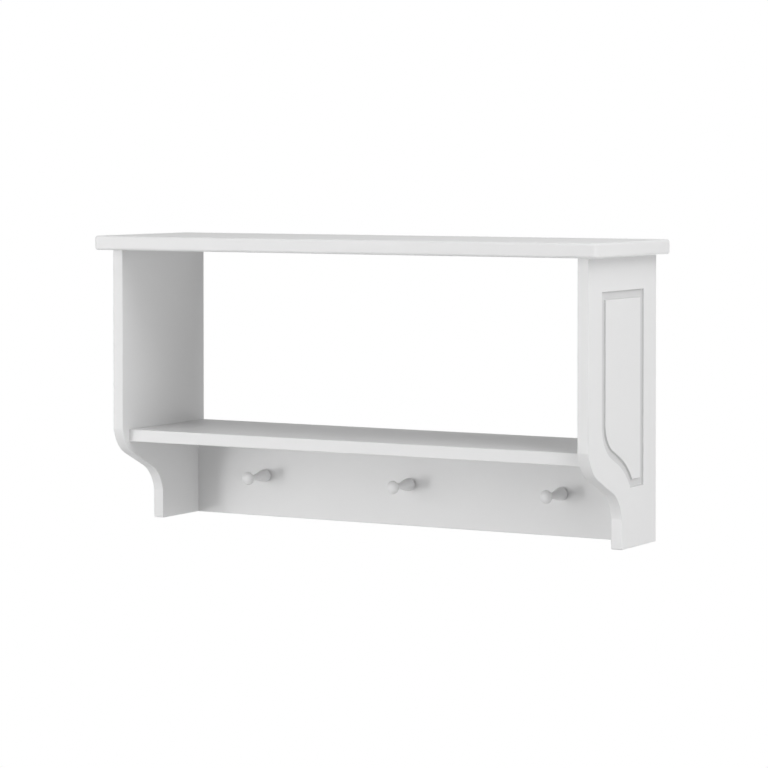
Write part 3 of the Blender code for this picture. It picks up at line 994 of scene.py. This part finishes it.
# %% Floor
FLOOR_HEIGHT = -1.6
FLOOR_REACH = 30.0
FLOOR_CELLS = 8
FLOOR_WHITE = (0.86, 0.86, 0.86)
FLOOR_SHADE = (0.84, 0.84, 0.84)
FLOOR_CLOUDS_PER_METRE = 3.0
FLOOR_ROUGHNESS = 0.9
SHADOW_REACH = 1.2
FADE_REACH = 3.0
PURE_WHITE = (1.0, 1.0, 1.0, 1.0)


def looked_at(start):
    """1 for rays from the camera, from a reflection or through glass, else 0."""
    kinds = ("Is Camera Ray", "Is Glossy Ray", "Is Transmission Ray")
    camera, glossy, through = (start.add("ShaderNodeLightPath", {}, output=kind) for kind in kinds)
    return camera.maths("MAXIMUM", camera.maths("MAXIMUM", camera, glossy), through)


def floor_finish():
    material, shader, place = new_finish("studio_floor")
    tree = material.node_tree
    flat = place.add("ShaderNodeVectorMath", {0: place, 1: (1.0, 1.0, 0.0)}, {"operation": "MULTIPLY"})
    away = place.add("ShaderNodeVectorMath", {0: flat}, {"operation": "LENGTH"}, output="Value")
    far = place.add(
        "ShaderNodeMapRange",
        {"Value": away, "From Min": SHADOW_REACH, "From Max": FADE_REACH},
        {"interpolation_type": "SMOOTHSTEP"},
    )
    clouds = noise(place, FLOOR_CLOUDS_PER_METRE)
    connect(mixed(clouds, FLOOR_WHITE, FLOOR_SHADE), shader, "Base Color")
    shader.inputs["Roughness"].default_value = FLOOR_ROUGHNESS
    glow = place.add("ShaderNodeEmission", {"Color": PURE_WHITE, "Strength": 1.0})
    body = Wire(tree, shader.outputs[0])
    whole = place.add("ShaderNodeMixShader", {0: far * looked_at(place), 1: body, 2: glow})
    tree.links.new(whole.socket, tree.nodes["Material Output"].inputs["Surface"])
    return material


bm = bmesh.new()
bmesh.ops.create_grid(bm, x_segments=FLOOR_CELLS, y_segments=FLOOR_CELLS, size=FLOOR_REACH)
bmesh.ops.translate(bm, verts=bm.verts, vec=(0, 0, FLOOR_HEIGHT))
floor = add_piece("studio_floor", bm, floor_finish())
print("floor", round(row_middle.z - FLOOR_HEIGHT, 2), "m below the pegs")

# %% White surroundings
def surroundings():
    world = bpy.data.worlds.new("white_surroundings")
    world.use_nodes = True
    tree = world.node_tree
    start = Wire(tree)
    dark = start.add("ShaderNodeBackground", {"Color": PURE_WHITE, "Strength": 0.0})
    white_wall = start.add("ShaderNodeBackground", {"Color": PURE_WHITE, "Strength": 1.0})
    whole = start.add("ShaderNodeMixShader", {0: looked_at(start), 1: dark, 2: white_wall})
    tree.links.new(whole.socket, tree.nodes["World Output"].inputs["Surface"])
    return world


bpy.context.scene.world = surroundings()
print("surroundings:", bpy.context.scene.world.name)

# %% [markdown]
# ## Lamps
#
# The pegs tell where the light comes from: each casts one soft shadow, to the right of its foot and a
# little up. So the key is a lamp far off, to the left of straight ahead and a little below, and it gives
# about a fifth of the light on the rail. Large soft lamps in front and to both sides give the rest
# without casting a second shadow, one above lights the top board, and two weak ones behind keep the back
# from going dark.

# %% Lamps
AIM = Vector((0.0, -0.12, 0.12))
LAMP_DISTANCE = 3.5
LAMPS = {
    "key": {"turn": -26, "rise": -6, "size": 1.35, "watts": 120, "away": 9.0},
    "left": {"turn": -50, "rise": -5, "size": 2.4, "watts": 26.5},
    "left_front": {"turn": -25, "rise": 18, "size": 2.4, "watts": 45},
    "right_front": {"turn": 65, "rise": 10, "size": 2.4, "watts": 24},
    "right": {"turn": 75, "rise": -5, "size": 2.4, "watts": 23.5},
    "right_high": {"turn": 75, "rise": 42, "size": 2.4, "watts": 64},
    "right_back": {"turn": 140, "rise": -5, "size": 2.0, "watts": 10},
    "back": {"turn": 180, "rise": -15, "size": 1.6, "watts": 20},
    "top": {"turn": 0, "rise": 85, "size": 2.0, "watts": 28},
}


def add_lamp(name, turn, rise, size, watts, away=LAMP_DISTANCE):
    """A square lamp round the shelf: turned to the right of straight ahead and raised, both in degrees."""
    t = math.radians(turn)
    r = math.radians(rise)
    towards = Vector((math.sin(t) * math.cos(r), -math.cos(t) * math.cos(r), math.sin(r)))
    data = bpy.data.lights.new(name, "AREA")
    data.shape = "SQUARE"
    data.size = size
    data.energy = watts
    lamp = bpy.data.objects.new(name, data)
    lamp.location = AIM + towards * away
    lamp.rotation_euler = towards.to_track_quat("Z", "Y").to_euler()
    lamp.visible_camera = False
    bpy.context.scene.collection.objects.link(lamp)


for name, lamp in LAMPS.items():
    add_lamp(f"{name}_lamp", **lamp)
print(len(LAMPS), "lamps")

# %% [markdown]
# ## Camera
#
# The camera stands to the right, a little above the top board, far off with a long lens, so that the
# shelf's far end is hardly smaller than the near one. It dips only slightly, which keeps the shelf's
# uprights almost parallel, and a shift of the picture brings the shelf into its middle. The Standard view
# leaves white as it is, where a filmic one would turn it grey.

# %% Camera
CAMERA_PLACE = (2.2549, -4.0512, 0.5020)
CAMERA_TURN = 29.698
CAMERA_DIP = 1.332
CAMERA_SENSOR = 36.0
CAMERA_LENS = 139.9
CAMERA_SHIFT = -0.20

camera_data = bpy.data.cameras.new("camera")
camera_data.sensor_width = CAMERA_SENSOR
camera_data.lens = CAMERA_LENS
camera_data.shift_y = CAMERA_SHIFT
camera = bpy.data.objects.new("camera", camera_data)
camera.location = CAMERA_PLACE
camera.rotation_euler = (math.radians(90 - CAMERA_DIP), 0.0, math.radians(CAMERA_TURN))
bpy.context.scene.collection.objects.link(camera)
bpy.context.scene.camera = camera
bpy.context.scene.view_settings.view_transform = "Standard"
print("camera at", CAMERA_PLACE)
